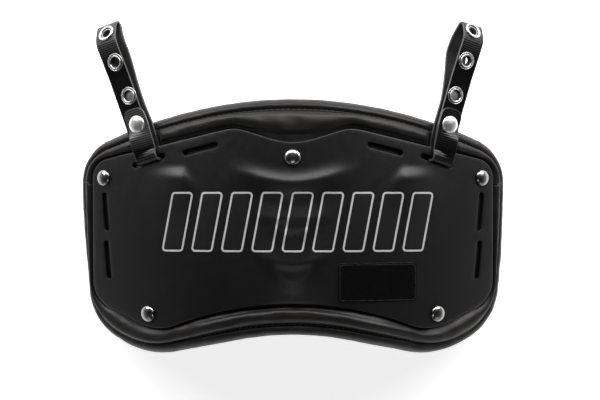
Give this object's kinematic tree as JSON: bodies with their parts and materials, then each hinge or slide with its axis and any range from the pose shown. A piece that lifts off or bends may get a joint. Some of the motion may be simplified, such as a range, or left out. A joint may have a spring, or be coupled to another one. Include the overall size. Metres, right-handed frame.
{
  "type": "football back plate",
  "caption": "Curved back plate on a padded cushion, with slotted strap anchors, domed rivets and two folded snap straps.",
  "frame": {"origin": "centre of the bounding box in X and Y, at its lowest point, where the cushion's two side rims rest", "axes": "+X across the plate, towards the wearer's right; +Y up the back, towards the straps; +Z out of the back, up as it lies"},
  "size_m": [0.3484, 0.2706, 0.0987],
  "materials": {
    "plate_shell": "satin",
    "pad_cover": "coated, satin",
    "strap_webbing": "coated, glossy",
    "rivet_metal": "polished",
    "snap_metal": "polished",
    "label_film": "gloss"
  },
  "bodies": {
    "root": {"plate": "plate_shell", "pad": "pad_cover", "rivet_top": "rivet_metal", "rivet_upper_left": "rivet_metal", "rivet_upper_right": "rivet_metal", "rivet_lower_left": "rivet_metal", "rivet_lower_right": "rivet_metal", "strap_left": "strap_webbing", "strap_right": "strap_webbing", "snap_cap_left": "snap_metal", "snap_cap_right": "snap_metal", "eyelet_left_1": "snap_metal", "eyelet_left_2": "snap_metal", "eyelet_left_3": "snap_metal", "eyelet_right_1": "snap_metal", "eyelet_right_2": "snap_metal", "eyelet_right_3": "snap_metal", "label": "label_film"}
  },
  "joints": []
}
